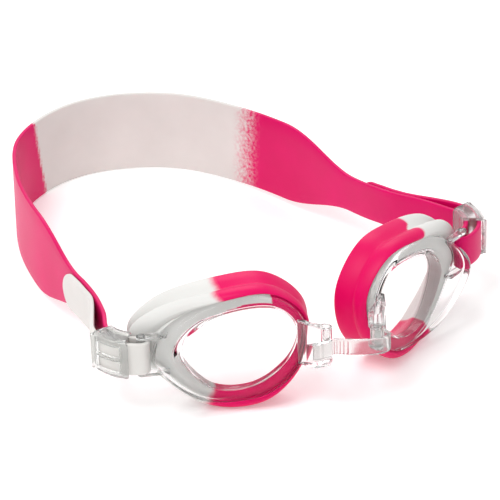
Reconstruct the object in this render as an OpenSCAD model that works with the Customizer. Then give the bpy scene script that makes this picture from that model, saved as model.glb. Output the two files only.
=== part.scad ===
// Children's swimming goggles: two clear cups with soft face seals, a sliding
// nose bridge, two strap adjusters and a wide two-colour head strap.
// The goggles stand on the lower edge of the seals and of the head band.
// Front is -Y, +Z is up. Left and right are as seen from the front: left is -X.

/* [Cups] */
// Distance between the two temple bars
bar_span = 120; // [118:1:124]
// Distance between the centres of the two windows
window_span = 61.4; // [60:0.2:63]
// Angle of each window behind the frontal plane
wrap_angle = 25.6; // [24:0.2:27]
// Thickness of the window pane
pane_t = 1.6; // [1.2:0.1:2]
// How far the rim stands in front of the pane at the temple
rim_dome = 6; // [3:0.5:7]
// Depth of the face seal at the nose
seal_depth_nose = 15.6; // [14:0.2:16]
// Depth of the face seal at the temple
seal_depth_temple = 12.6; // [11:0.2:14]

/* [Temple bars] */
// Radius of the bar that the strap loops round
bar_r = 1.4; // [1.3:0.05:1.5]
// Distance of the bars behind the window centres
bar_back = 14.6; // [14:0.2:15]

/* [Strap] */
// Thickness of the silicone
strap_t = 1.4; // [1.3:0.05:1.5]
// Height of the doubled strap at the temple bars
strap_h = 11.2; // [10.8:0.1:11.6]
// Height of the single strap and of the free tail beside it
strap_mid_h = 13.2; // [12:0.1:14]
// Height of the band at the back of the head
band_h = 29.4; // [27:0.2:31]
// Depth of the strap behind the window centres
strap_back_y = 167.8; // [160:0.2:175]
// Running gap between the strap loop and its bar
loop_gap = 0.05; // [0.02:0.01:0.08]

/* [Adjusters] */
// Height of an adjuster
adjuster_h = 13.7; // [13.4:0.1:14.6]
// Half the length of an adjuster, as an angle along the bent strap
adjuster_half_angle = 23; // [18:1:24]
// Clearance between the strap and an adjuster's slots
slot_gap = 0.25; // [0.2:0.05:0.3]

/* [Nose bridge] */
// Height of the bridge strip
bridge_h = 5.6; // [5:0.1:5.8]
// Thickness of the bridge strip
bridge_t = 1.3; // [1.1:0.1:1.4]
// Radius of the pin that the bridge turns on
pin_r = 1.1; // [1:0.05:1.2]

/* [Hidden] */

round_fn = 48;
around = 56;        // steps round each cup
front_y = -20.05;   // foremost point, in front of the window centres
middle_y = (front_y + strap_back_y + strap_t / 2) / 2;
bar_x = bar_span / 2;

// ---- Closed outlines of a cup, seen from the front: temple side is +X ----
// Edge of the window, outer edge of the clear rim, outer edge of the seal
WINDOW = [[20, 0], [14.5, 9], [3, 13.7], [-10, 13.6],
    [-16.5, 6], [-13, -5], [-2, -13.5], [11, -13]];
RIM = [[29.3, -0.5], [22.4, 11.3], [6, 17.8], [-9, 18.3],
    [-19.2, 8], [-16.5, -8], [-4, -17.4], [14.5, -16.2]];
SEAL = [[36, 1.5], [28.5, 13.8], [9, 19.8], [-8, 20],
    [-20.2, 8.4], [-18.4, -8], [-5, -20.7], [16, -19.4]];

// Steps round the cup, counted from the temple, where pink silicone meets white
PINK_FROM = 13;
PINK_TO = 48;

function spline(a, b, c, d, t) =
    0.5 * (2 * b + (c - a) * t + (2 * a - 5 * b + 4 * c - d) * t * t
        + (3 * b - a - 3 * c + d) * t * t * t);
function closed(p, t) = let (n = len(p), i = floor(t), f = t - i)
    spline(p[(i + n - 1) % n], p[i % n], p[(i + 1) % n], p[(i + 2) % n], f);
function open_curve(p, t) = let (n = len(p), i = min(floor(t), n - 2), f = t - i,
        first = 2 * p[0] - p[1], last = 2 * p[n - 1] - p[n - 2])
    spline(i == 0 ? first : p[i - 1], p[i], p[i + 1], i + 2 > n - 1 ? last : p[i + 2], f);
function mix(a, b, f) = a + (b - a) * f;
function smooth(x) = let (c = max(0, min(1, x))) c * c * (3 - 2 * c);
function unit(v) = v / norm(v);
// How much a point of the outline belongs to the temple side, 1 to 0
function temple(t) = pow(max(0, cos(45 * t)), 2);
function nose(t) = pow(max(0, -cos(45 * t)), 2);

// Height of the window centres over the floor that the seals stand on
window_height = -min([for (i = [0 : around - 1]) closed(SEAL, 8 * i / around)[1]]);

// A point of the cup: k = 0 window edge, 1 rim edge, 2 seal edge; w is depth
function cup_point(t, k, w) = let (p = k <= 1
        ? mix(closed(WINDOW, t), closed(RIM, t), k)
        : mix(closed(RIM, t), closed(SEAL, t), k - 1))
    [p[0], w, p[1]];

// ---- Clear cup ----
function cup_section(t) = let (dome = 0.3 + rim_dome * pow(temple(t), 1.3)) [
    [0, 0.4], [0.05, 0], [0.2, -0.45 * dome], [0.45, -0.9 * dome], [0.7, -dome], [0.88, -0.8 * dome],
    [1, 0.5], [1, 1.7], [0.93, 2.1], [0.86, 2.1], [0.85, 1.9 - 0.7 * dome], [0.66, 1.9 - 0.95 * dome],
    [0.44, 1.9 - 0.8 * dome], [0.26, 2.1 - 0.25 * dome], [0.24, 2.1], [0.22, 6.6], [0.06, 6.6], [0.04, 0.4 + pane_t]];

module swept_disc(rings) {
    m = len(rings);
    n = len(rings[0]);
    points = [for (r = rings) for (p = r) p];
    walls = [for (j = [0 : m - 2]) for (i = [0 : n - 1]) let (a = (i + 1) % n)
        for (f = [[j * n + i, j * n + a, (j + 1) * n + a], [j * n + i, (j + 1) * n + a, (j + 1) * n + i]]) f];
    first = [for (i = [n - 1 : -1 : 0]) i];
    last = [for (i = [0 : n - 1]) (m - 1) * n + i];
    polyhedron(concat(points), concat([first], walls, [last]));
}

// A closed section swept from one end to the other; end lists the triangles that close it
module swept_bar(sections, end) {
    m = len(sections);
    n = len(sections[0]);
    points = [for (s = sections) for (p = s) p];
    walls = [for (j = [0 : m - 2]) for (i = [0 : n - 1]) let (a = (i + 1) % n)
        for (f = [[j * n + i, (j + 1) * n + a, j * n + a], [j * n + i, (j + 1) * n + i, (j + 1) * n + a]]) f];
    last = [for (f = end) [for (i = [2 : -1 : 0]) (m - 1) * n + f[i]]];
    polyhedron(points, concat(end, walls, last));
}

module on_floor() translate([-middle_x, -middle_y, window_height]) children();
module on_side(side) on_floor() mirror([side < 0 ? 1 : 0, 0, 0]) children();
module cup_frame() translate([window_span / 2, 0, 0]) rotate([0, 0, wrap_angle]) children();

module cup_shell() {
    m = len(cup_section(0));
    swept_disc([for (j = [0 : m - 1]) [for (i = [0 : around - 1])
        let (t = 8 * i / around, s = cup_section(t)[j]) cup_point(t, s[0], s[1])]]);
}

// Fork at the temple with the bar for the strap loop
// Middle of each bar above the window centre. The flexible bridge lets the right cup tip up.
LIFT_LEFT = 0.6;
LIFT_RIGHT = 2.4;
function lift(side) = side < 0 ? LIFT_LEFT : LIFT_RIGHT;
arm_t = 1.3;
arm_gap = strap_h + 0.6;
arm_r = 1.5;
// Where the arms grow out of the rim, in the cup's own plan
ARM_ROOT = [[24.4, -0.4], [24, 2.1], [28, 2.1], [27, -0.4]];
module temple_fork(side) translate([0, 0, lift(side) - arm_gap / 2]) {
    translate([bar_x, bar_back, -arm_t]) cylinder(r = bar_r, h = arm_gap + 2 * arm_t, $fn = round_fn);
    for (z = [-arm_t, arm_gap]) translate([0, 0, z]) linear_extrude(arm_t) hull() {
        translate([bar_x, bar_back]) circle(r = arm_r, $fn = round_fn);
        translate([window_span / 2, 0]) rotate(wrap_angle) polygon(ARM_ROOT);
    }
}

// Nose lug, in plan. The rim joins it at the right-hand end.
LUG = [[-16.5, 0.8], [-19, 0.8], [-20.6, -0.2], [-25.8, -0.4],
    [-26.6, -1.6], [-26.4, -4], [-25.2, -4.8], [-21.8, -4.6], [-16.5, -0.6]];
lug_low = -4.9;
lug_high = 8.4;
bridge_z = -0.5;
pin_x = 10.5;
pin_y = -12.5;
tail_y = -11.5;
module lug_body() {
    cup_frame() translate([0, 0, lug_low]) linear_extrude(lug_high - lug_low) polygon(LUG);
}
// Left lug: a slot that the bridge's tail slides through, and a hollow roll
module lug_left() {
    difference() {
        union() {
            lug_body();
            translate([8.6, -12.4, lug_low]) cylinder(r = 2, h = lug_high - lug_low, $fn = round_fn);
        }
        translate([5, tail_y - 1.05, bridge_z - bridge_h / 2 - 0.3]) cube([10, 2.1, bridge_h + 0.6]);
        translate([8.6, -12.4, 4]) cylinder(r = 1.1, h = 6, $fn = round_fn);
    }
}
// Right lug: two ears with the pin that the bridge turns on
module lug_right() {
    difference() {
        lug_body();
        translate([pin_x, pin_y, bridge_z - bridge_h / 2 - 0.3])
            cylinder(r = 2.9, h = bridge_h + 0.6, $fn = round_fn);
        translate([pin_x - 8, pin_y - 8, bridge_z - bridge_h / 2 - 0.3]) cube([9.5, 9.6, bridge_h + 0.6]);
    }
    translate([pin_x, pin_y, bridge_z - bridge_h / 2 - 1]) cylinder(r = pin_r, h = bridge_h + 2, $fn = round_fn);
}
module lens_cup_left() {
    color([0.93, 0.95, 0.95, 0.5]) on_side(-1) {
        cup_frame() cup_shell();
        temple_fork(-1);
        lug_left();
    }
}
module lens_cup_right() {
    color([0.93, 0.95, 0.95, 0.5]) on_side(1) {
        cup_frame() cup_shell();
        temple_fork(1);
        lug_right();
    }
}

// ---- Face seal ----
// Flange behind the rim, front roll, groove, skirt, lip and inner wall
function seal_section(t) = let (s = 3.6 * temple(t) + 3 * nose(t),
        d = seal_depth_temple + (seal_depth_nose - seal_depth_temple) * (nose(t) + 0.5 * (1 - nose(t) - temple(t))))
    [[0.36, 2.1], [1.02, 2.1], [1.1, 0.9 + s], [1.4, 0.6 + s], [1.82, 1.6 + s], [2, 3.8 + s], [1.9, 5.8 + 0.8 * s],
    [1.66, 7 + 0.6 * s], [1.78, mix(7 + 0.6 * s, d, 0.35)], [1.96, d - 1.2], [1.9, d], [1.62, d - 0.2],
    [1.25, mix(6.6, d, 0.6)], [0.6, mix(7.4, d, 0.25)], [0.3, 7.6], [0.28, 6.2], [0.28, 2.1]];
// Triangles that close the end of a seal, as places in seal_section
SEAL_END = [[0, 15, 16], [0, 1, 15], [1, 2, 3], [1, 3, 4], [1, 4, 5], [1, 5, 6], [1, 6, 15], [6, 7, 15],
    [7, 14, 15], [7, 13, 14], [7, 8, 13], [8, 12, 13], [8, 9, 12], [9, 11, 12], [9, 10, 11]];
module seal_part(side, from, to) on_side(side) cup_frame()
    swept_bar([for (i = [from : to]) let (t = 8 * i / around)
        [for (s = seal_section(t)) cup_point(t, s[0], s[1])]], SEAL_END);
module seal_nose(side) seal_part(side, PINK_FROM, PINK_TO);
module seal_temple(side) seal_part(side, PINK_TO, PINK_FROM + around);

// ---- Strap ----
// Each end bends in an arc behind its temple bar: heading at the bar, radius
BEND_LEFT = [24.7, 12.5];
BEND_RIGHT = [12.8, 12.2];
bend_to = 113;      // heading where the arc ends and the band begins
layer_in = bar_r + loop_gap;            // from the middle of the doubled strap
layer_out = layer_in + strap_t;
function bend(side) = side < 0 ? BEND_LEFT : BEND_RIGHT;
function bend_centre(b) = [bar_x - b[1] * sin(b[0]), bar_back + b[1] * cos(b[0])];
function bend_point(b, r, heading) = bend_centre(b) + r * [sin(heading), -cos(heading)];

module ring_sector(r1, r2, a1, a2) {
    steps = 10;
    intersection() {
        difference() { circle(r = r2, $fn = round_fn * 2); circle(r = r1, $fn = round_fn * 2); }
        polygon(concat([[0, 0]], [for (i = [0 : steps]) let (a = mix(a1, a2, i / steps) - 90)
            2 * r2 * [cos(a), sin(a)]]));
    }
}

// The doubled strap in plan, with the eye round the bar
module loop_plan(b) {
    difference() {
        union() {
            translate([bar_x, bar_back]) circle(r = layer_out, $fn = round_fn);
            translate(bend_centre(b)) ring_sector(b[1] - layer_out, b[1] + layer_out, b[0], bend_to);
        }
        translate([bar_x, bar_back]) circle(r = layer_in, $fn = round_fn);
        translate(bend_centre(b)) ring_sector(b[1] - layer_in, b[1] + layer_in, b[0], bend_to + 5);
    }
}

// Middle line of the band in plan, from the arc's end to the back of the head
BAND = [[57, 55], [54, 80], [50.7, 105], [44, 129], [32.7, 151], [17, 163.5]];
function band_line(side) = let (b = bend(side), r = b[1] - (layer_in + layer_out) / 2,
        p = bend_point(b, r, bend_to))
    concat([p, p + 9 * [cos(bend_to), sin(bend_to)]], BAND, [[0, strap_back_y]]);
// Behind the adjusters both sides come down to one line, then slope to the floor at the back
join_z = -2.4;
join_y = 60;
slope = (window_height + join_z - band_h / 2) / (strap_back_y - join_y);
function band_z(side, y) = mix(lift(side), join_z, smooth((y - 28) / 50)) - slope * max(0, y - join_y);
// Where the narrow strap starts to widen into the band
WIDEN_LEFT = 64;
WIDEN_RIGHT = 74;
function band_half(side, y) = (strap_h + (strap_mid_h - strap_h) * smooth((y - 28) / 20)
    + (band_h - strap_mid_h) * smooth((y - (side < 0 ? WIDEN_LEFT : WIDEN_RIGHT)) / 36)) / 2;
band_top = len(BAND) + 2;
function band_at(side, t) = let (line = band_line(side), n = len(line),
        mirrored = concat(line, [[-line[n - 2][0], line[n - 2][1]]])) open_curve(mirrored, t);
function band_section(side, t) = let (p = band_at(side, t), q = band_at(side, t + 0.01),
        o = band_at(side, max(0, t - 0.01)), d = unit(q - o), n = [d[1], -d[0]],
        h = band_half(side, p[1]), z = band_z(side, p[1]), c = 0.35)
    [for (e = [[-1, -1, 0], [-1, -1, 1], [-1, 1, 1], [-1, 1, 0], [1, 1, 0], [1, 1, 1], [1, -1, 1], [1, -1, 0]])
        let (u = e[0] * (strap_t / 2 - (e[2] == 0 ? c : 0)), v = e[1] * (h - (e[2] == 1 ? c : 0)))
        [p[0] + n[0] * u, p[1] + n[1] * u, z + v]];
BAND_END = [for (i = [1 : 6]) [0, i, i + 1]];
// Where each pink side meets the white back, in points of the band line
SIDE_TO_LEFT = 6.85;
SIDE_TO_RIGHT = 4.85;
module band_side(side, to) on_side(side)
    swept_bar([for (i = [0 : 30]) band_section(side, to * i / 30)], BAND_END);
function mirrored(section) = [for (p = section) [-p[0], p[1], p[2]]];
module strap_back() color("whitesmoke") on_floor() {
    right_steps = 14;
    left_steps = 6;
    right = [for (i = [0 : right_steps]) band_section(1, mix(SIDE_TO_RIGHT, band_top, i / right_steps))];
    left = [for (i = [left_steps - 1 : -1 : 0])
        mirrored(band_section(-1, mix(SIDE_TO_LEFT, band_top, i / left_steps)))];
    swept_bar(concat(right, left), BAND_END);
}
module strap_side_left() color("deeppink") band_side(-1, SIDE_TO_LEFT);
module strap_side_right() color("deeppink") band_side(1, SIDE_TO_RIGHT);

// Free tail outside the band, with a round tip
tail_tip_y = 72;
function tail_line(side) = let (b = bend(side), r = b[1] + (layer_in + layer_out) / 2,
        p = bend_point(b, r, bend_to), out = strap_t + 0.5)
    [p, p + 4 * [cos(bend_to + 6), sin(bend_to + 6)], for (y = [46, 54, 62, 70, 78])
        [band_x(side, y) + out, y]];
function band_x(side, y, lo = 0, hi = 5) = let (m = (lo + hi) / 2, p = band_at(side, m))
    hi - lo < 0.005 ? p[0] : p[1] < y ? band_x(side, y, m, hi) : band_x(side, y, lo, m);
function thick_line(line, steps, t) = let (n = len(line) - 1,
        at = [for (i = [0 : steps]) open_curve(line, n * i / steps)],
        dir = [for (i = [0 : steps]) unit(at[min(i + 1, steps)] - at[max(i - 1, 0)])])
    concat([for (i = [0 : steps]) at[i] + t / 2 * [dir[i][1], -dir[i][0]]],
        [for (i = [steps : -1 : 0]) at[i] - t / 2 * [dir[i][1], -dir[i][0]]]);
module strap_loop(side) on_side(side) {
    b = bend(side);
    translate([0, 0, lift(side) - strap_h / 2]) linear_extrude(strap_h) loop_plan(b);
    intersection() {
        translate([0, 0, lift(side) - 12]) linear_extrude(24) polygon(thick_line(tail_line(side), 24, strap_t));
        translate([40, 0, 0]) rotate([90, 0, 90]) linear_extrude(40) tail_side(side);
    }
}
// The free tail seen from the side: it widens, comes down with the band and ends round
module tail_side(side) {
    Y = [for (i = [0 : 16]) mix(20, tail_tip_y - strap_mid_h / 2, i / 16)];
    half = [for (y = Y) (strap_h + (strap_mid_h - strap_h) * smooth((y - 28) / 20)) / 2];
    last = len(Y) - 1;
    polygon(concat([for (i = [0 : last]) [Y[i], band_z(side, Y[i]) - half[i]]],
        [for (i = [last : -1 : 0]) [Y[i], band_z(side, Y[i]) + half[i]]]));
    translate([Y[last], band_z(side, Y[last])]) circle(r = strap_mid_h / 2, $fn = round_fn);
}
module strap_loop_left() color("whitesmoke") strap_loop(-1);
module strap_loop_right() color("deeppink") strap_loop(1);

// ---- Strap adjusters ----
// Heading on the arc where each adjuster stands
STAND_LEFT = 66;
STAND_RIGHT = 80;
wall = 0.85;
lip_r = 0.75;
function reach(b, stand) = bend_centre(b)[0] + lip_r
    + (b[1] + layer_out + slot_gap + lip_r) * sin(stand + adjuster_half_angle);
middle_x = (reach(BEND_RIGHT, STAND_RIGHT) - reach(BEND_LEFT, STAND_LEFT)) / 2;
module sector(half, over = 0) rotate([0, 0, -over])
    rotate_extrude(angle = 2 * half + 2 * over, $fn = round_fn * 2) children();
module adjuster_block(r) {
    half = adjuster_h / 2;
    side = layer_out + slot_gap + wall;
    bevel = 0.9;
    polygon([[r - side, -half + bevel], [r - side + bevel, -half], [r + side - bevel, -half],
        [r + side, -half + bevel], [r + side, half - bevel], [r + side - bevel, half],
        [r - side + bevel, half], [r - side, half - bevel]]);
}
module strap_adjuster(side, stand) on_side(side) {
    b = bend(side);
    r = b[1];
    half = adjuster_half_angle;
    translate(concat(bend_centre(b), [lift(side)])) rotate([0, 0, stand - 90 - half]) {
        difference() {
            sector(half) adjuster_block(r);
            for (low = [r - layer_out - slot_gap, r + layer_in - slot_gap])
                sector(half, 5) translate([low, -strap_h / 2 - slot_gap])
                    square([strap_t + 2 * slot_gap, strap_h + 2 * slot_gap]);
            for (low = [0.6, -4.6]) sector(half, -7) translate([r + layer_out, low]) square([4, 4]);
        }
        for (a = [0, 2 * half]) rotate([0, 0, a])
            translate([r + layer_out + slot_gap + lip_r, 0, -adjuster_h / 2 + 0.9])
                cylinder(r = lip_r, h = adjuster_h - 1.8, $fn = round_fn);
    }
}
module strap_adjuster_left() color([0.9, 0.93, 0.93, 0.6]) strap_adjuster(-1, STAND_LEFT);
module strap_adjuster_right() color([0.9, 0.93, 0.93, 0.6]) strap_adjuster(1, STAND_RIGHT);

// ---- Nose bridge ----
BRIDGE = [[-12.3, tail_y], [-9.4, tail_y], [-6, tail_y], [-3.2, -13.2],
    [0.5, -15.9], [4.6, -18.2], [8.4, -19.4], [11.2, -18], [11.4, -14.6]];
eye_r = 2.4;
module nose_bridge() color([0.9, 0.93, 0.93, 0.6]) on_floor() translate([0, 0, bridge_z - bridge_h / 2])
    difference() {
        union() {
            linear_extrude(bridge_h) polygon(thick_line(BRIDGE, 40, bridge_t));
            translate([pin_x, pin_y, 0]) cylinder(r = eye_r, h = bridge_h, $fn = round_fn);
            for (i = [0 : 5]) let (t = 2.2 + 0.34 * i, p = open_curve(BRIDGE, t))
                translate([p[0] - 0.25, p[1] - bridge_t / 2 - 0.3, 0.4]) cube([0.5, 0.6, bridge_h - 0.8]);
        }
        translate([pin_x, pin_y, -1]) cylinder(r = pin_r + loop_gap, h = bridge_h + 2, $fn = round_fn);
    }

module seal_nose_left() color("deeppink") seal_nose(-1);
module seal_nose_right() color("deeppink") seal_nose(1);
module seal_temple_left() color("whitesmoke") seal_temple(-1);
module seal_temple_right() color("whitesmoke") seal_temple(1);

lens_cup_left();
lens_cup_right();
seal_nose_left();
seal_temple_left();
seal_nose_right();
seal_temple_right();
nose_bridge();
strap_adjuster_left();
strap_adjuster_right();
strap_back();
strap_side_left();
strap_side_right();
strap_loop_left();
strap_loop_right();
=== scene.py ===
import math

import bmesh
import bpy
from mathutils import Matrix, Vector


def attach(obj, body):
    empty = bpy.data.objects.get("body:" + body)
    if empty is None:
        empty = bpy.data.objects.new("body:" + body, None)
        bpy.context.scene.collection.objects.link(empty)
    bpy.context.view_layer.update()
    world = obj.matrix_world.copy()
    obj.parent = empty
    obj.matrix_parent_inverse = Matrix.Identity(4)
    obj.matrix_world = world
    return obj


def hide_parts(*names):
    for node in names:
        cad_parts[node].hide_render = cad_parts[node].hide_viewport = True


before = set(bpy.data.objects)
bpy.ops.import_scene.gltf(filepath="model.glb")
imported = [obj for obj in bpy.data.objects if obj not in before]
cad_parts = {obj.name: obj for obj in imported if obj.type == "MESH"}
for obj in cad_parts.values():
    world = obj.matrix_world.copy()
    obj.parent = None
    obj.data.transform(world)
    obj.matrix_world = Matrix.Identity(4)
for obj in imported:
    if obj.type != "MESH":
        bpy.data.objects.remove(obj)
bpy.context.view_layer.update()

# ---------------------------------------------------------------- the object's own frame, in mm
# Window centres lie at y = 0, z = 0, x = 0 is midway between the cups and y runs from the front to the back.
# side is -1 for the left of the photograph (-X) and 1 for its right.
MIDDLE_X, MIDDLE_Y = 0.9058, 74.225  # where the row frame's zero lies
WINDOW_HEIGHT = 22.151  # of the window centres over the floor
WRAP = math.radians(25.6)  # how far each cup is turned back round the face
WINDOW_X = 30.7
BAR_X, BAR_BACK, BAR_R = 60.0, 14.6, 1.4  # the temple bar that the strap goes round
LIFT = {-1: 0.6, 1: 2.4}  # height of the bar's middle
SHARP = 38  # an edge that turns by more degrees than this stays sharp
BEVEL_SEGMENTS = 2
CORNER_STEPS = 3


def place(p):
    """A point of the object's own frame, in metres in the row frame."""
    return Vector(((p[0] - MIDDLE_X) / 1000, (p[1] - MIDDLE_Y) / 1000, (p[2] + WINDOW_HEIGHT) / 1000))


def mix(a, b, f):
    return a + (b - a) * f


def smooth(x):
    c = min(1.0, max(0.0, x))
    return c * c * (3 - 2 * c)


def spline(a, b, c, d, f):
    """The Catmull-Rom curve from b to c, at share f."""
    return [0.5 * (2 * q + (r - p) * f + (2 * p - 5 * q + 4 * r - s) * f * f
                   + (3 * q - p - 3 * r + s) * f ** 3)
            for p, q, r, s in zip(a, b, c, d)]


def closed(points, t):
    """A closed curve through the points, at point number t."""
    n = len(points)
    i = math.floor(t)
    return spline(points[(i - 1) % n], points[i % n], points[(i + 1) % n], points[(i + 2) % n], t - i)


def open_curve(points, t):
    """An open curve through the points, at point number t."""
    n = len(points)
    i = min(int(t), n - 2)
    before = [2 * a - b for a, b in zip(points[0], points[1])] if i == 0 else points[i - 1]
    after = [2 * a - b for a, b in zip(points[-1], points[-2])] if i + 2 >= n else points[i + 2]
    return spline(before, points[i], points[i + 1], after, t - i)


# ---------------------------------------------------------------- meshes
def link(name, data):
    """A new object in the scene."""
    thing = bpy.data.objects.new(name, data)
    bpy.context.scene.collection.objects.link(thing)
    return thing


def shade(mesh, sharp=SHARP):
    mesh.shade_smooth()
    mesh.set_sharp_from_angle(angle=math.radians(sharp))


def build(name, points, faces, side=1, sharp=SHARP, attributes=None):
    """A mesh from points in mm. side -1 mirrors it to the left."""
    mesh = bpy.data.meshes.new(name)
    mesh.from_pydata([place((side * x, y, z)) for x, y, z in points], [], faces)
    bm = bmesh.new()
    bm.from_mesh(mesh)
    bmesh.ops.recalc_face_normals(bm, faces=bm.faces)
    bm.to_mesh(mesh)
    bm.free()
    for key, values in (attributes or {}).items():
        layer = mesh.attributes.new(key, "FLOAT", "POINT")
        layer.data.foreach_set("value", values)
    shade(mesh, sharp)
    return link(name, mesh)


def sweep(sections, ring=False):
    """Points and faces of a skin over sections. A ring joins its last section to its first."""
    m, n = len(sections), len(sections[0])
    points = [p for s in sections for p in s]
    faces = []
    for j in range(m if ring else m - 1):
        k = (j + 1) % m
        faces += [(j * n + i, j * n + (i + 1) % n, k * n + (i + 1) % n, k * n + i) for i in range(n)]
    if not ring:
        faces += [tuple(range(n)), tuple((m - 1) * n + i for i in range(n))]
    return points, faces


def prism(outline, low, high):
    """Points and faces of a plan outline drawn up from low to high, in mm."""
    n = len(outline)
    points = [(x, y, z) for z in (low, high) for x, y in outline]
    faces = [tuple(range(n)), tuple(range(n, 2 * n))]
    faces += [(i, (i + 1) % n, n + (i + 1) % n, n + i) for i in range(n)]
    return points, faces


def disc(x, y, r, count=40):
    angles = [2 * math.pi * i / count for i in range(count)]
    return [(x + r * math.cos(a), y + r * math.sin(a)) for a in angles]


def box_outline(x0, y0, x1, y1):
    return [(x0, y0), (x1, y0), (x1, y1), (x0, y1)]


def hull_outline(points):
    """The convex outline round some plan points."""
    points = sorted(set(points))

    def half(seq):
        out = []
        for p in seq:
            while len(out) > 1 and ((out[-1][0] - out[-2][0]) * (p[1] - out[-2][1])
                                    - (out[-1][1] - out[-2][1]) * (p[0] - out[-2][0])) <= 0:
                out.pop()
            out.append(p)
        return out[:-1]

    return half(points) + half(points[::-1])


def across(path, i):
    """The unit vector, in plan, across a path at its point i."""
    a, b = path[max(0, i - 1)], path[min(len(path) - 1, i + 1)]
    dx, dy = b[0] - a[0], b[1] - a[1]
    size = math.hypot(dx, dy)
    return dy / size, -dx / size


def round_box(half_u, half_v, corner, flat_steps=1, rib=0.0):
    """A rounded box as (across, up). A rib makes it stand out further on its +across side."""
    corner_v = min(corner, half_v * 0.9)
    ring = []
    for qu, qv, start in ((1, 1, 0), (-1, 1, 90), (-1, -1, 180), (1, -1, 270)):
        for s in range(CORNER_STEPS + 1):
            f = math.radians(start + 90 * s / CORNER_STEPS)
            ring.append((qu * (half_u - corner + (rib if qu > 0 else 0)) + corner * math.cos(f),
                         qv * (half_v - corner_v) + corner_v * math.sin(f)))
        if start in (90, 270):
            u, v = ring[-1]
            ring += [(u, mix(v, -v, s / flat_steps)) for s in range(1, flat_steps)]
    return ring


def settle(piece):
    """Turns a piece's modifiers into its mesh."""
    bpy.context.view_layer.update()
    graph = bpy.context.evaluated_depsgraph_get()
    mesh = bpy.data.meshes.new_from_object(piece.evaluated_get(graph))
    piece.modifiers.clear()
    piece.data = mesh
    shade(mesh)


def cut(piece, tool, kind="DIFFERENCE"):
    """Cuts a tool out of a piece, or joins the two if kind is UNION, and removes the tool."""
    step = piece.modifiers.new(kind, "BOOLEAN")
    step.operation, step.object, step.solver = kind, tool, "EXACT"
    settle(piece)
    bpy.data.objects.remove(tool)


def bevel(piece, width, angle=30):
    """Rounds the edges that turn by more than angle, by a width in mm."""
    step = piece.modifiers.new("bevel", "BEVEL")
    step.width, step.segments = width / 1000, BEVEL_SEGMENTS
    step.limit_method, step.angle_limit = "ANGLE", math.radians(angle)
    settle(piece)
    return piece


def join(name, pieces):
    """One piece from several, each keeping its material slots."""
    bm = bmesh.new()
    materials = []
    for piece in pieces:
        start = len(bm.faces)
        bm.from_mesh(piece.data)
        bm.faces.ensure_lookup_table()
        for m in piece.data.materials:
            if m not in materials:
                materials.append(m)
        for f in list(bm.faces)[start:]:
            m = piece.data.materials[f.material_index] if piece.data.materials else None
            f.material_index = materials.index(m) if m else 0
    mesh = bpy.data.meshes.new(name)
    bm.to_mesh(mesh)
    bm.free()
    for m in materials:
        mesh.materials.append(m)
    for piece in pieces:
        bpy.data.objects.remove(piece)
    return link(name, mesh)


# ---------------------------------------------------------------- materials
CLOUD_SCALE, SPECKLE_SCALE, GRAIN_SCALE = 60.0, 900.0, 4200.0  # silicone: slow tint, colour edge, surface
FLOW_SCALE, POLISH_SCALE = 140.0, 500.0  # clear plastic: flow haze, surface


def new_material(name):
    material = bpy.data.materials.new(name)
    material.use_nodes = True
    tree = material.node_tree
    return material, tree, tree.nodes["Principled BSDF"]


def add(tree, kind, **values):
    node = tree.nodes.new(kind)
    for key, value in values.items():
        setattr(node, key, value)
    return node


def set_inputs(node, values):
    for key, value in values.items():
        node.inputs[key].default_value = value


def noise(tree, scale, detail=2.0, roughness=0.5):
    coord = add(tree, "ShaderNodeTexCoord")
    texture = add(tree, "ShaderNodeTexNoise")
    set_inputs(texture, {"Scale": scale, "Detail": detail, "Roughness": roughness})
    tree.links.new(coord.outputs["Object"], texture.inputs["Vector"])
    return texture.outputs["Fac"]


def ramp(tree, source, stops):
    node = add(tree, "ShaderNodeValToRGB")
    for element, (position, colour) in zip(node.color_ramp.elements, stops):
        element.position, element.color = position, colour
    tree.links.new(source, node.inputs["Fac"])
    return node.outputs["Color"]


def map_range(tree, source, low, high, to_low, to_high):
    node = add(tree, "ShaderNodeMapRange")
    set_inputs(node, {"From Min": low, "From Max": high, "To Min": to_low, "To Max": to_high})
    tree.links.new(source, node.inputs["Value"])
    return node.outputs["Result"]


def arithmetic(tree, operation, *sources, clamp=False):
    """A Math node on numbers and other nodes' outputs."""
    node = add(tree, "ShaderNodeMath", operation=operation, use_clamp=clamp)
    for socket, source in zip(node.inputs, sources):
        if isinstance(source, float):
            socket.default_value = source
        else:
            tree.links.new(source, socket)
    return node.outputs[0]


def bump(tree, shader, height, strength, distance):
    node = add(tree, "ShaderNodeBump")
    set_inputs(node, {"Strength": strength, "Distance": distance})
    tree.links.new(height, node.inputs["Height"])
    tree.links.new(node.outputs["Normal"], shader.inputs["Normal"])


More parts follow.
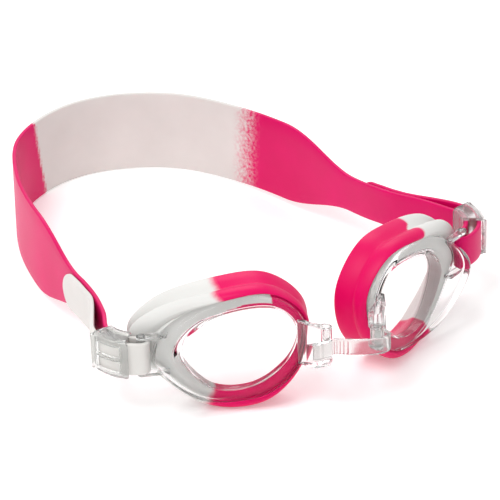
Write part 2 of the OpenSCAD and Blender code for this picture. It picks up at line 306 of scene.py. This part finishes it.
def silicone(name, pink, deep, white, grey, speckle):
    """Two-colour silicone: the mesh's pink attribute runs from 0 to 1, and speckles where it is between."""
    material, tree, shader = new_material(name)
    mask = add(tree, "ShaderNodeAttribute", attribute_name="pink").outputs["Fac"]
    grains = map_range(tree, noise(tree, SPECKLE_SCALE, 3.0, 0.6), 0.3, 0.7, -speckle, speckle)
    between = arithmetic(tree, "MULTIPLY", mask, arithmetic(tree, "SUBTRACT", 1.0, mask))
    share = arithmetic(tree, "MULTIPLY_ADD", grains, between, mask, clamp=True)
    cloud = noise(tree, CLOUD_SCALE, 3.0)
    pinks = ramp(tree, cloud, [(0.3, deep), (0.7, pink)])
    whites = ramp(tree, cloud, [(0.3, grey), (0.7, white)])
    colour = add(tree, "ShaderNodeMix", data_type="RGBA")
    tree.links.new(share, colour.inputs["Factor"])
    tree.links.new(whites, colour.inputs[6])
    tree.links.new(pinks, colour.inputs[7])
    tree.links.new(colour.outputs[2], shader.inputs["Base Color"])
    fine = noise(tree, GRAIN_SCALE)
    tree.links.new(map_range(tree, fine, 0.2, 0.8, 0.34, 0.46), shader.inputs["Roughness"])
    set_inputs(shader, {"Specular IOR Level": 0.16, "Subsurface Weight": 0.1, "Subsurface Scale": 1.0,
                        "Subsurface Radius": (0.0016, 0.0012, 0.0012)})
    bump(tree, shader, fine, 0.06, 0.0002)
    return material


def clear_plastic(name, tint, haze, roughness, ior, clarity):
    """Moulded clear plastic with faint flow haze. clarity is its share of transmission."""
    material, tree, shader = new_material(name)
    flow = noise(tree, FLOW_SCALE, 3.0)
    tree.links.new(ramp(tree, flow, [(0.25, haze), (0.75, tint)]), shader.inputs["Base Color"])
    fine = noise(tree, POLISH_SCALE)
    tree.links.new(map_range(tree, fine, 0.3, 0.8, roughness, roughness * 2.2), shader.inputs["Roughness"])
    set_inputs(shader, {"Transmission Weight": clarity, "IOR": ior, "Coat Weight": 0.08,
                        "Coat Roughness": 0.04})
    bump(tree, shader, flow, 0.05, 0.0004)
    return material


SEAL = silicone("seal_silicone", pink=(0.76, 0.0, 0.12, 1), deep=(0.70, 0.0, 0.10, 1),
                white=(0.72, 0.715, 0.695, 1), grey=(0.69, 0.68, 0.66, 1), speckle=0.5)
STRAP = silicone("strap_silicone", pink=(0.70, 0.0, 0.13, 1), deep=(0.64, 0.0, 0.11, 1),
                 white=(0.72, 0.70, 0.675, 1), grey=(0.67, 0.65, 0.625, 1), speckle=1.8)
LENS = clear_plastic("clear_lens", tint=(0.985, 0.985, 0.985, 1), haze=(0.97, 0.972, 0.972, 1),
                     roughness=0.03, ior=1.13, clarity=1.0)
MOULDED = clear_plastic("clear_moulded", tint=(0.955, 0.957, 0.953, 1), haze=(0.91, 0.912, 0.908, 1),
                        roughness=0.05, ior=1.24, clarity=0.95)
SOFT_CLEAR = clear_plastic("clear_soft", tint=(0.90, 0.903, 0.895, 1), haze=(0.82, 0.823, 0.81, 1),
                           roughness=0.12, ior=1.25, clarity=0.88)

# ---------------------------------------------------------------- cups
# Outlines seen from the front, temple side +X: edge of the window, of the rim and of the seal.
# Each starts at the temple (t = 0) and goes over the top (2) and the nose (4) to the bottom (6).
WINDOW = [(19.8, -1), (14.7, 8.6), (3, 13.4), (-10, 13.6), (-16.5, 6), (-13, -5), (-2, -13.5), (11, -13)]
RIM = [(29.3, -0.5), (22.4, 11.3), (6, 17.8), (-9, 18.3), (-19.2, 8), (-16.5, -8), (-4, -17.4), (14.5, -16.2)]
SKIRT = [(36, 1.5), (28.5, 13.8), (9, 19.8), (-8, 20), (-20.2, 8.4), (-18.4, -8), (-5, -20.7), (16, -19.4)]
AROUND = 224  # sections round each cup and seal
TURN = [8 * i / AROUND for i in range(AROUND)]
PANE_FRONT, PANE_BACK = 0.4, 2.0  # depths of the window's two faces


def temple(t):
    """1 at the temple, 0 from the top and the bottom on."""
    return max(0.0, math.cos(math.radians(45 * t))) ** 2


def nose(t):
    """1 at the nose, 0 from the top and the bottom on."""
    return max(0.0, -math.cos(math.radians(45 * t))) ** 2


def wall_back(t):
    """Depth of the back edge of the cup's collar, which the seal grips."""
    return 4.3 + 2.3 * temple(t)


def rim_back(t):
    """Depth of the back edge of the clear rim."""
    return 2.1 + 2.2 * nose(t)


def in_cup(u, w):
    """A cup's plan point: u across its window, towards the temple, and w behind it."""
    return (WINDOW_X + u * math.cos(WRAP) - w * math.sin(WRAP), u * math.sin(WRAP) + w * math.cos(WRAP))


def cup_point(t, k, w):
    """k is 0 at the window's edge, 1 at the rim's and 2 at the seal's; w is the depth behind the window."""
    a, b, f = (WINDOW, RIM, k) if k <= 1 else (RIM, SKIRT, k - 1)
    p, q = closed(a, t), closed(b, t)
    return (*in_cup(mix(p[0], q[0], f), w), mix(p[1], q[1], f))


def rounded(profile, corners, steps=4):
    """A profile as an open smooth curve, kept sharp at the listed corners."""
    out = []
    start = 0
    for end in corners + [len(profile) - 1]:
        part = profile[start:end + 1]
        count = (len(part) - 1) * steps if len(part) > 2 else 1
        out += [open_curve(part, (len(part) - 1) * i / count) for i in range(count)]
        start = end
    return out + [list(profile[-1])]


def cup_profile(t):
    """The cup's section as (k, w): over the rim, which is domed at the temple, and back under it."""
    dome = 0.3 + 6 * temple(t) ** 1.3
    back = rim_back(t)
    wall = wall_back(t)
    profile = [(0, PANE_FRONT), (0.012, 0.25), (0.06, -0.05 * dome), (0.2, -0.5 * dome), (0.42, -0.88 * dome),
               (0.66, -dome), (0.86, -0.84 * dome), (0.97, -0.3 * dome + 0.3), (1, 0.9), (1, back - 0.4),
               (0.97, back), (0.88, back), (0.87, 1.9 - 0.5 * dome), (0.82, 1.9 - 0.78 * dome),
               (0.62, 1.9 - 0.97 * dome), (0.42, 1.9 - 0.8 * dome), (0.25, 2.0 - 0.3 * dome), (0.17, 2.1),
               (0.16, 2.3), (0.15, wall - 0.3), (0.13, wall), (0.06, wall), (0.04, wall - 0.3), (0.03, 2.3),
               (0.02, PANE_BACK)]
    return rounded(profile, [8, 9, 10, 11, 17, 20, 21])


# ---------------------------------------------------------------- fork at the temple
ARM_GAP, ARM_T = 11.8, 1.3  # height between the arms, and of each arm
ARM_ROOT = [(24.4, -0.4), (24, 2.1), (28, 2.1), (27, -0.4)]  # (u, w) where an arm leaves the rim
ARM_END_R = 1.5
BAR_INSET = 0.2  # how far each end of the bar stays inside its arm


def fork(side):
    """Two arms at the temple with the bar between them."""
    low = LIFT[side] - ARM_GAP / 2
    high = LIFT[side] + ARM_GAP / 2
    arm = hull_outline(disc(BAR_X, BAR_BACK, ARM_END_R, 24) + [in_cup(u, w) for u, w in ARM_ROOT])
    parts = [bevel(build("arm", *prism(arm, z, z + ARM_T), side=side), 0.3) for z in (low - ARM_T, high)]
    bar = disc(BAR_X, BAR_BACK, BAR_R, 32)
    return parts + [build("bar", *prism(bar, low - ARM_T + BAR_INSET, high + ARM_T - BAR_INSET), side=side)]


# ---------------------------------------------------------------- lug at the nose
LUG = [(-16.5, 0.8), (-19, 0.8), (-20.6, -0.2), (-25.8, -0.4), (-26.6, -1.6), (-26.4, -4), (-25.2, -4.8),
       (-21.8, -4.6), (-16.5, -0.6)]  # its plan outline, as (u, w)
LUG_LOW, LUG_HIGH = -4.9, 8.4
LUG_TOP, LUG_BOTTOM = 2.7, -3.7  # its slot lies between these heights, which taper() leaves alone
TAPER_FROM, TAPER_OVER = 6.5, 9.5
BRIDGE_Z, BRIDGE_H, BRIDGE_T = -0.5, 5.6, 1.3  # the bridge's middle height, its height and its thickness
SLOT_PLAY, SLOT_HALF = 0.3, 1.05
TAIL_Y = -11.5
ROLL, ROLL_R, HOLLOW_R = (8.6, -12.4), 2.0, 1.1  # the left lug's rolled front edge
PIN, PIN_R, PIN_ROOM = (10.5, -12.5), 1.1, 2.9
EYE_R, EYE_PLAY = 2.4, 0.05
SOFT_EDGE = 0.25


def taper(piece, side):
    """Makes a lug taller where it leaves the rim and lower at its end."""
    for vertex in piece.data.vertices:
        x = side * (vertex.co.x * 1000 + MIDDLE_X)
        z = vertex.co.z * 1000 - WINDOW_HEIGHT
        f = smooth((x - TAPER_FROM) / TAPER_OVER)
        if z > LUG_TOP:
            z = LUG_TOP + (z - LUG_TOP) * mix(0.94, 1.28, f)
        if z < LUG_BOTTOM:
            z = LUG_BOTTOM + (z - LUG_BOTTOM) * mix(0.45, 1.4, f)
        vertex.co.z = (z + WINDOW_HEIGHT) / 1000


def lug(side):
    """The left lug holds the bridge's tail in a slot, and the right one holds its eye on a pin."""
    low, high = BRIDGE_Z - BRIDGE_H / 2 - SLOT_PLAY, BRIDGE_Z + BRIDGE_H / 2 + SLOT_PLAY
    body = build("lug", *prism([in_cup(u, w) for u, w in LUG], LUG_LOW, LUG_HIGH), side=side)
    fittings = []
    if side < 0:
        slot = box_outline(5, TAIL_Y - SLOT_HALF, 15, TAIL_Y + SLOT_HALF)
        cut(body, build("roll", *prism(disc(*ROLL, ROLL_R), LUG_LOW, LUG_HIGH), side=side), "UNION")
        cut(body, build("slot", *prism(slot, low, high), side=side))
        cut(body, build("hollow", *prism(disc(*ROLL, HOLLOW_R), 4, 10), side=side))
    else:
        way_in = box_outline(PIN[0] - 8, PIN[1] - 8, PIN[0] + 1.5, PIN[1] + 1.6)
        cut(body, build("room", *prism(disc(*PIN, PIN_ROOM), low, high)))
        cut(body, build("way_in", *prism(way_in, low, high)))
        fittings = [build("pin", *prism(disc(*PIN, PIN_R, 28), low - 0.3, high + 0.3))]
    taper(body, side)
    return [bevel(body, SOFT_EDGE)] + fittings


def cup(side, name, body, node):
    profiles = [cup_profile(t) for t in TURN]
    rings = [[cup_point(t, *profile[j]) for t, profile in zip(TURN, profiles)]
             for j in range(len(profiles[0]))]
    shell = build("shell", *sweep(rings), side=side, sharp=32)
    shell.data.materials.append(LENS)
    fittings = fork(side) + lug(side)
    for part in fittings:
        part.data.materials.append(MOULDED)
    piece = join(name, [shell] + fittings)
    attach(piece, body)
    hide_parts(node)


cup(-1, "cup_left", "left_cup", "lens_cup_left")
cup(1, "cup_right", "right_cup", "lens_cup_right")

# ---------------------------------------------------------------- face seals
# Where pink gives way to white round each seal: (over the top, under the bottom, softness), as t
SEAL_TURN = {-1: (1.98, 6.84, 0.17), 1: (1.86, 6.9, 0.03)}
# The flange under the clear rim stays white from the temple over the top as far as this t
WHITE_FLANGE = {-1: 2.96, 1: 4.6}
# Next to the window pink starts at t = PINK_INSIDE, below k = PINK_EDGE, and PINK_REACH further out later on
PINK_INSIDE, PINK_EDGE = 1.5, 0.12
PINK_REACH = {-1: 0.27, 1: 0.05}
SEAL_GAP = 0.06  # between the rim's back and the seal


def seal_profile(t):
    """The seal's section as (k, w): flange under the rim, outer roll, valley, skirt and face lip."""
    s = 3.6 * temple(t) + 3.4 * nose(t)
    depth = 12.6 + 3.0 * (nose(t) + 0.5 * (1 - nose(t) - temple(t)))
    valley = 7 + 0.6 * s
    lip = rim_back(t) + SEAL_GAP
    wall = wall_back(t)
    profile = [(0.2, 2.16), (0.3, 2.16), (0.34, 2.2), (0.6, 2.3), (0.95, lip), (1.03, lip),
               (1.07, 1.4 + 0.8 * s), (1.15, 0.8 + s), (1.4, 0.55 + s),
               (1.72, 1.2 + s), (1.93, 2.3 + s), (2, 3.8 + s), (1.86, 5.4 + 0.85 * s), (1.52, valley),
               (1.62, mix(valley, depth, 0.17)), (1.9, mix(valley, depth, 0.5)), (2.0, depth - 1.2),
               (1.95, depth - 0.1), (1.78, depth), (1.6, depth - 0.4), (1.25, mix(6.6, depth, 0.6)),
               (0.6, mix(wall + 1.4, depth, 0.25)), (0.22, wall + 1.4), (0.16, wall + 0.6),
               (0.18, wall - 0.4)]
    return rounded(profile, [1, 2, 4])


def seal_pink(side, t, k, w):
    """How pink a point of a seal is, from 0 to 1."""
    top, bottom, soft = SEAL_TURN[side]
    if side > 0 and k > 1.4:
        top -= 0.14 * smooth((w - 7) / 3)
    pink = smooth((t - top) / soft + 0.5) * smooth((bottom - t) / soft + 0.5)
    if k < 1.06 and w < rim_back(t) + 0.4 and t < WHITE_FLANGE[side]:
        pink = 0.0
    inner = PINK_EDGE + PINK_REACH[side] * smooth(t - PINK_INSIDE)
    if k < inner and PINK_INSIDE - 0.1 < t < bottom:
        pink = max(pink, smooth((t - PINK_INSIDE) / 0.2))
    return pink


def seal(side, name, body, nodes):
    rings, pinks = [], []
    for t in TURN:
        ring = seal_profile(t)
        rings.append([cup_point(t, k, w) for k, w in ring])
        pinks += [seal_pink(side, t, k, w) for k, w in ring]
    piece = build(name, *sweep(rings, ring=True), side=side, sharp=60, attributes={"pink": pinks})
    piece.data.materials.append(SEAL)
    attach(piece, body)
    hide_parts(*nodes)


seal(-1, "face_seal_left", "left_cup", ["seal_nose_left", "seal_temple_left"])
seal(1, "face_seal_right", "right_cup", ["seal_nose_right", "seal_temple_right"])

# ---------------------------------------------------------------- head strap
STRAP_T, STRAP_CORNER, STRAP_FLAT_STEPS = 1.4, 0.42, 6
LAYER = BAR_R + 0.05 + STRAP_T / 2  # from the bar's axis to the middle of the silicone
BEND = {-1: (24.7, 12.5), 1: (12.8, 12.2)}  # the doubled strap's arc: heading at the bar in degrees, radius
BEND_TO = 113  # its heading at the other end
LOOP_TO = 94  # the heading at which the inner layer turns pink
BAND = [(57, 55), (54, 80), (50.7, 105), (44, 129), (32.7, 151), (17, 163.5), (0, 167.8), (-17, 163.5)]
BAND_LEAD = 9  # from the arc's end to the first point before BAND
BAND_MIDDLE = 8  # the point number of the middle of the back
STRAP_H, STRAP_MID_H, BAND_H = 11.2, 13.2, 29.4  # heights at the loop, at the side and at the back
JOIN_Z, JOIN_Y, STRAP_BACK = -2.4, 60, 167.8
SLOPE = (WINDOW_HEIGHT + JOIN_Z - BAND_H / 2) / (STRAP_BACK - JOIN_Y)  # the back band rests on the floor
GROW_FROM, GROW_OVER, DROP_OVER = 28, 20, 50  # behind the bar it grows to its middle height and drops, as y
WIDEN, WIDEN_OVER = {-1: 64, 1: 74}, 36  # where the strap starts to widen to the back band, as y
# Where pink gives way to white: (point number along the band, its lean with height, softness)
STRAP_TURN = {-1: (6.88, 0.13, 0.05), 1: (4.93, 0.04, 0.55)}
TAIL_TIP, TAIL_GAP = 72, 0.5
TAIL_AT = (46, 54, 62, 70, 78)
TAIL_STEPS, TIP_STEPS, ARC_STEPS, LOOP_STEPS, INNER_STEPS, BAND_STEPS = 70, 14, 40, 20, 31, 160
BAND_SAMPLES = 400  # along the band, to find its x at a y


def band_z(side, y):
    return mix(LIFT[side], JOIN_Z, smooth((y - GROW_FROM) / DROP_OVER)) - SLOPE * max(0, y - JOIN_Y)


def narrow_half(y):
    return (STRAP_H + (STRAP_MID_H - STRAP_H) * smooth((y - GROW_FROM) / GROW_OVER)) / 2


def band_half(side, y):
    return narrow_half(y) + (BAND_H - STRAP_MID_H) / 2 * smooth((y - WIDEN[side]) / WIDEN_OVER)


def bend_point(side, r, heading):
    """The plan point at a radius and heading of the doubled strap's arc."""
    start, bar_r = BEND[side]
    cx = BAR_X - bar_r * math.sin(math.radians(start))
    cy = BAR_BACK + bar_r * math.cos(math.radians(start))
    a = math.radians(heading)
    return (cx + r * math.sin(a), cy - r * math.cos(a))


def ahead(point, heading, distance):
    a = math.radians(heading)
    return (point[0] + distance * math.cos(a), point[1] + distance * math.sin(a))


def side_path(side):
    """Half of the strap's middle line, tail's tip to back: (x, y, z, half height, where), all for +X.

    where is tail, loop or inner, and further on the point number along the band."""
    heading, r = BEND[side]
    start = bend_point(side, r - LAYER, BEND_TO)
    line = [start, ahead(start, BEND_TO, BAND_LEAD)] + BAND
    dense = [open_curve(line, BAND_MIDDLE * i / BAND_SAMPLES) for i in range(BAND_SAMPLES + 1)]

    def tail_x(y):
        """The free tail lies outside the band."""
        a, b = next(pair for pair in zip(dense, dense[1:]) if pair[1][1] > y)
        return mix(a[0], b[0], (y - a[1]) / (b[1] - a[1])) + STRAP_T + TAIL_GAP

    start = bend_point(side, r + LAYER, BEND_TO)
    tail = [start, ahead(start, BEND_TO + 6, 4)] + [(tail_x(y), y) for y in TAIL_AT]
    tip_r = STRAP_MID_H / 2
    samples = [open_curve(tail, (len(tail) - 1) * i / TAIL_STEPS) for i in range(TAIL_STEPS + 1)]
    samples = [p for p in samples if p[1] < TAIL_TIP - tip_r]
    last = samples[-1][1]
    out = []
    for i in range(TIP_STEPS, 0, -1):  # the round tip, with steps that crowd at its end
        y = last + (TAIL_TIP - 0.02 - last) * math.sin(math.pi / 2 * i / TIP_STEPS)
        half = math.sqrt(max(0.3, tip_r ** 2 - max(0.0, y - (TAIL_TIP - tip_r)) ** 2))
        out.append((tail_x(y), y, band_z(side, y), half, "tail"))
    for x, y in reversed(samples):
        out.append((x, y, band_z(side, y), narrow_half(y), "tail"))

    def at_bar(x, y, where):
        out.append((x, y, LIFT[side], STRAP_H / 2, where))

    for i in range(1, ARC_STEPS + 1):
        at_bar(*bend_point(side, r + LAYER, mix(BEND_TO, heading, i / ARC_STEPS)), "loop")
    b = math.radians(heading)
    for i in range(1, LOOP_STEPS):
        f = math.pi * i / LOOP_STEPS
        at_bar(BAR_X + LAYER * (math.cos(f) * math.sin(b) - math.sin(f) * math.cos(b)),
               BAR_BACK + LAYER * (-math.cos(f) * math.cos(b) - math.sin(f) * math.sin(b)), "loop")
    for i in range(INNER_STEPS):
        h = mix(heading, BEND_TO, i / INNER_STEPS)
        at_bar(*bend_point(side, r - LAYER, h), "loop" if h < LOOP_TO else "inner")
    for i in range(BAND_STEPS + 1):
        t = BAND_MIDDLE * i / BAND_STEPS
        x, y = open_curve(line, t)
        out.append((x, y, band_z(side, y), band_half(side, y), t))
    return out


def strap_pink(side, where, v):
    """How pink the strap is. v is the height over its middle, as a share of its half height."""
    if where in ("tail", "loop"):
        return 0.0 if side < 0 else 1.0
    if where == "inner":
        return 1.0
    turn, lean, soft = STRAP_TURN[side]
    return smooth((turn - lean * v - where) / soft + 0.5)


def strap():
    left = [(-x, y, z, half, where, -1) for x, y, z, half, where in side_path(-1)]
    right = [(x, y, z, half, where, 1) for x, y, z, half, where in side_path(1)]
    path = left + right[-2::-1]
    sections, pinks = [], []
    for i, (x, y, z, half, where, side) in enumerate(path):
        nx, ny = across(path, i)
        ring = round_box(STRAP_T / 2, half, STRAP_CORNER, STRAP_FLAT_STEPS)
        sections.append([(x + nx * u, y + ny * u, z + v) for u, v in ring])
        pinks += [strap_pink(side, where, v / half) for u, v in ring]
    piece = build("head_strap", *sweep(sections), sharp=60, attributes={"pink": pinks})
    piece.data.materials.append(STRAP)
    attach(piece, "strap")
    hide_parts("strap_back", "strap_side_left", "strap_side_right",
                "strap_loop_left", "strap_loop_right")


strap()

# ---------------------------------------------------------------- nose bridge
# Its plan from the tail, in the left lug's slot, over the nose to the eye on the right lug's pin
BRIDGE = [(-12.3, TAIL_Y), (-9.4, TAIL_Y), (-6, TAIL_Y), (-3.2, -13.2), (0.5, -15.9), (4.6, -18.2),
          (8.4, -19.4), (11.2, -18), (11.4, -14.6)]
BRIDGE_STEPS, BRIDGE_CORNER = 160, 0.35
RIB_FROM, RIB_TO, RIB_FIRST, RIB_EVERY, RIB_HEIGHT = 1.55, 3.7, 1.7, 0.3, 0.3


def bridge():
    spans = len(BRIDGE) - 1
    line = [open_curve(BRIDGE, spans * i / BRIDGE_STEPS) for i in range(BRIDGE_STEPS + 1)]
    sections = []
    for i, (x, y) in enumerate(line):
        nx, ny = across(line, i)
        t = spans * i / BRIDGE_STEPS
        wave = max(0.0, math.cos(2 * math.pi * (t - RIB_FIRST) / RIB_EVERY)) ** 2
        rib = RIB_HEIGHT * wave if RIB_FROM < t < RIB_TO else 0.0
        ring = round_box(BRIDGE_T / 2, BRIDGE_H / 2, BRIDGE_CORNER, rib=rib)
        sections.append([(x + nx * u, y + ny * u, BRIDGE_Z + v) for u, v in ring])
    strip = build("strip", *sweep(sections))
    low, high = BRIDGE_Z - BRIDGE_H / 2, BRIDGE_Z + BRIDGE_H / 2
    eye = build("eye", *prism(disc(*PIN, EYE_R), low, high))
    cut(eye, build("bore", *prism(disc(*PIN, PIN_R + EYE_PLAY), low - 1, high + 1)))
    piece = join("nose_strip", [strip, bevel(eye, SOFT_EDGE)])
    piece.data.materials.append(SOFT_CLEAR)
    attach(piece, "bridge")
    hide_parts("nose_bridge")


bridge()


# ---------------------------------------------------------------- strap adjusters
def adjuster(name, body, node):
    """The CAD solid with its flat faces merged and its edges rounded."""
    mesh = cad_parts[node].data.copy()
    bm = bmesh.new()
    bm.from_mesh(mesh)
    bmesh.ops.remove_doubles(bm, verts=bm.verts, dist=2e-6)
    bmesh.ops.dissolve_limit(bm, angle_limit=math.radians(3), verts=bm.verts, edges=bm.edges)
    bm.to_mesh(mesh)
    bm.free()
    mesh.materials.clear()
    piece = bevel(link(name, mesh), 0.22, 35)
    piece.data.materials.append(SOFT_CLEAR)
    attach(piece, body)
    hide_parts(node)


adjuster("slider_left", "left_adjuster", "strap_adjuster_left")
adjuster("slider_right", "right_adjuster", "strap_adjuster_right")

# ---------------------------------------------------------------- floor, light and camera
FLOOR_HALF, FLOOR_DROP = 3.0, 0.0002  # in metres
WORLD_STRENGTH = 0.7
LIGHT_SIZE = 0.6
AZIMUTH, ELEVATION, ROLL_ANGLE = math.radians(-29.691), math.radians(29.368), math.radians(-1.550)
TARGET, DISTANCE = Vector((-0.01616, -0.05177, 0.04339)), 1.25758
LENS_MM, SENSOR_MM, CLIP_END = 285.04, 36, 20


def floor():
    mesh = bpy.data.meshes.new("floor")
    corners = box_outline(-FLOOR_HALF, -FLOOR_HALF, FLOOR_HALF, FLOOR_HALF)
    mesh.from_pydata([(x, y, 0) for x, y in corners], [], [(0, 1, 2, 3)])
    plane = link("floor", mesh)
    plane.location.z = -FLOOR_DROP
    material, _, shader = new_material("pale_floor")
    set_inputs(shader, {"Base Color": (0.93, 0.93, 0.925, 1), "Roughness": 0.9, "Specular IOR Level": 0.1,
                        "Emission Color": (1, 1, 1, 1), "Emission Strength": 0.22})
    plane.data.materials.append(material)


def light(name, spot, power):
    """A soft round lamp that points at the row frame's zero."""
    data = bpy.data.lights.new(name, "AREA")
    data.shape, data.size, data.energy = "DISK", LIGHT_SIZE, power
    lamp = link(name, data)
    lamp.location = spot
    lamp.rotation_euler = (-Vector(spot)).to_track_quat("-Z", "Y").to_euler()


def surroundings():
    world = bpy.data.worlds.new("studio")
    world.use_nodes = True
    set_inputs(world.node_tree.nodes["Background"], {"Color": (1, 1, 1, 1), "Strength": WORLD_STRENGTH})
    bpy.context.scene.world = world
    light("key", (-0.5, -0.2, 1.0), 6)
    light("back", (0.35, 0.7, 0.8), 3)


def camera():
    back = Vector((math.sin(AZIMUTH) * math.cos(ELEVATION), -math.cos(AZIMUTH) * math.cos(ELEVATION),
                   math.sin(ELEVATION)))
    level = Vector((math.cos(AZIMUTH), math.sin(AZIMUTH), 0))
    rise = back.cross(level)
    right = math.cos(ROLL_ANGLE) * level + math.sin(ROLL_ANGLE) * rise
    up = math.cos(ROLL_ANGLE) * rise - math.sin(ROLL_ANGLE) * level
    data = bpy.data.cameras.new("camera")
    data.lens, data.sensor_width, data.clip_end = LENS_MM, SENSOR_MM, CLIP_END
    eye = link("camera", data)
    turn = Matrix((right, up, back)).transposed().to_4x4()
    eye.matrix_world = Matrix.Translation(TARGET + DISTANCE * back) @ turn
    bpy.context.scene.camera = eye


floor()
surroundings()
camera()
bpy.context.scene.view_settings.view_transform = "Standard"
